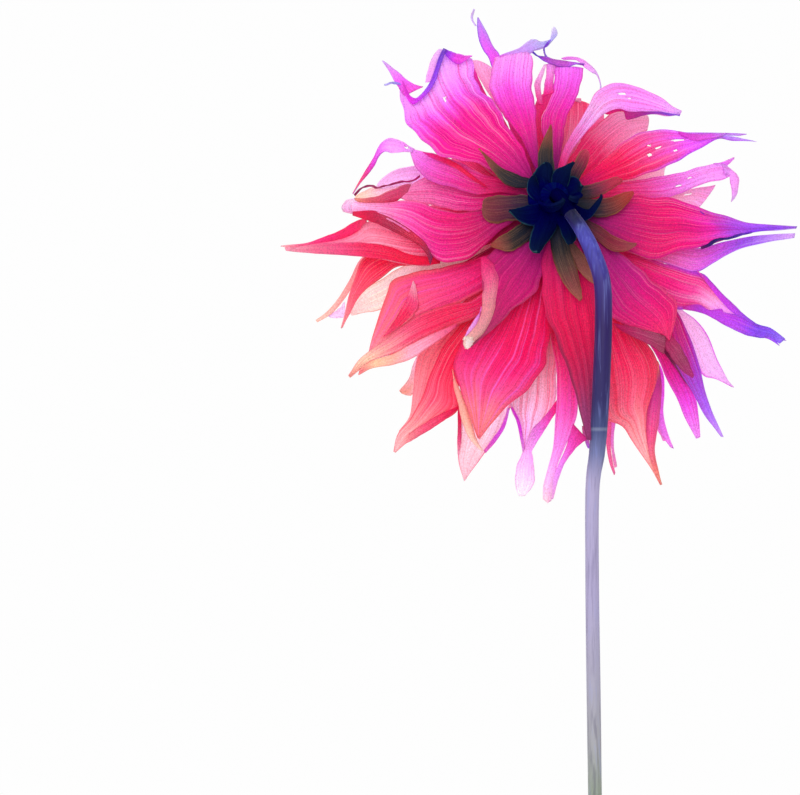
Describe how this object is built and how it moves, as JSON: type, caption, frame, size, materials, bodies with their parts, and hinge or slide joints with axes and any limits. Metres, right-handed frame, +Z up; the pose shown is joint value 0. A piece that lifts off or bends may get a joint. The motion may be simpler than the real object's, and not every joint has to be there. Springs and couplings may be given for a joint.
{
  "type": "dahlia in a jar",
  "caption": "Large semi-cactus dahlia bloom on a hooked stem, seen from its back, standing in a plain clear glass jar.",
  "frame": {"origin": "centre of the jar's flat base, on the surface it stands on", "axes": "+Z up the jar's axis; +Y the way the bloom's face looks, tipped downward; -Y the bloom's back with the hooked stem; +X right as seen from the back"},
  "size_m": [0.1812, 0.1386, 0.4111],
  "materials": {
    "jar_glass": "clear smooth glass, faint green at the rim and foot",
    "stem_skin": "smooth green-plant skin, dark purple at the hook fading to pale lavender below, slight sheen",
    "receptacle_green": "matt dark green",
    "heart_floret": "soft matt petal, thin and light passing",
    "outer_bract_green": "fleshy, near black blue-green, slight sheen",
    "inner_bract_olive": "thin papery olive brown, light passing",
    "petal_row_1": "thin soft petal, hot pink to coral with lilac or cream tips, veined lengthwise, light passing",
    "petal_row_2": "thin soft petal, hot pink to coral with lilac or cream tips, veined lengthwise, light passing",
    "petal_row_3": "thin soft petal, hot pink to coral with lilac or cream tips, veined lengthwise, light passing",
    "petal_row_4": "thin soft petal, hot pink to coral with lilac or cream tips, veined lengthwise, light passing",
    "petal_row_5": "thin soft petal, hot pink to coral with lilac or cream tips, veined lengthwise, light passing",
    "petal_row_6": "thin soft petal, hot pink to coral with lilac or cream tips, veined lengthwise, light passing"
  },
  "bodies": {
    "root": {"jar": "jar_glass", "stem": "stem_skin", "receptacle": "receptacle_green", "heart": "heart_floret", "outer_bract_1": "outer_bract_green", "outer_bract_2": "outer_bract_green", "outer_bract_3": "outer_bract_green", "outer_bract_4": "outer_bract_green", "outer_bract_5": "outer_bract_green", "outer_bract_6": "outer_bract_green", "inner_bract_1": "inner_bract_olive", "inner_bract_2": "inner_bract_olive", "inner_bract_3": "inner_bract_olive", "inner_bract_4": "inner_bract_olive", "inner_bract_5": "inner_bract_olive", "inner_bract_6": "inner_bract_olive", "inner_bract_7": "inner_bract_olive", "inner_bract_8": "inner_bract_olive", "petal_01": "petal_row_1", "petal_02": "petal_row_2", "petal_03": "petal_row_3", "petal_04": "petal_row_2", "petal_05": "petal_row_2", "petal_06": "petal_row_3", "petal_07": "petal_row_1", "petal_08": "petal_row_2", "petal_09": "petal_row_2", "petal_10": "petal_row_5", "petal_11": "petal_row_1", "petal_12": "petal_row_3", "petal_13": "petal_row_4", "petal_14": "petal_row_5", "petal_15": "petal_row_2", "petal_16": "petal_row_6", "petal_17": "petal_row_1", "petal_18": "petal_row_3", "petal_19": "petal_row_4", "petal_20": "petal_row_2", "petal_21": "petal_row_5", "petal_22": "petal_row_1", "petal_23": "petal_row_3", "petal_24": "petal_row_6", "petal_25": "petal_row_4", "petal_26": "petal_row_2", "petal_27": "petal_row_3", "petal_28": "petal_row_6", "petal_29": "petal_row_5", "petal_30": "petal_row_2", "petal_31": "petal_row_1", "petal_32": "petal_row_3", "petal_33": "petal_row_4", "petal_34": "petal_row_2", "petal_35": "petal_row_4", "petal_36": "petal_row_6", "petal_37": "petal_row_4", "petal_38": "petal_row_4", "petal_39": "petal_row_5", "petal_40": "petal_row_5", "petal_41": "petal_row_6"}
  },
  "joints": []
}
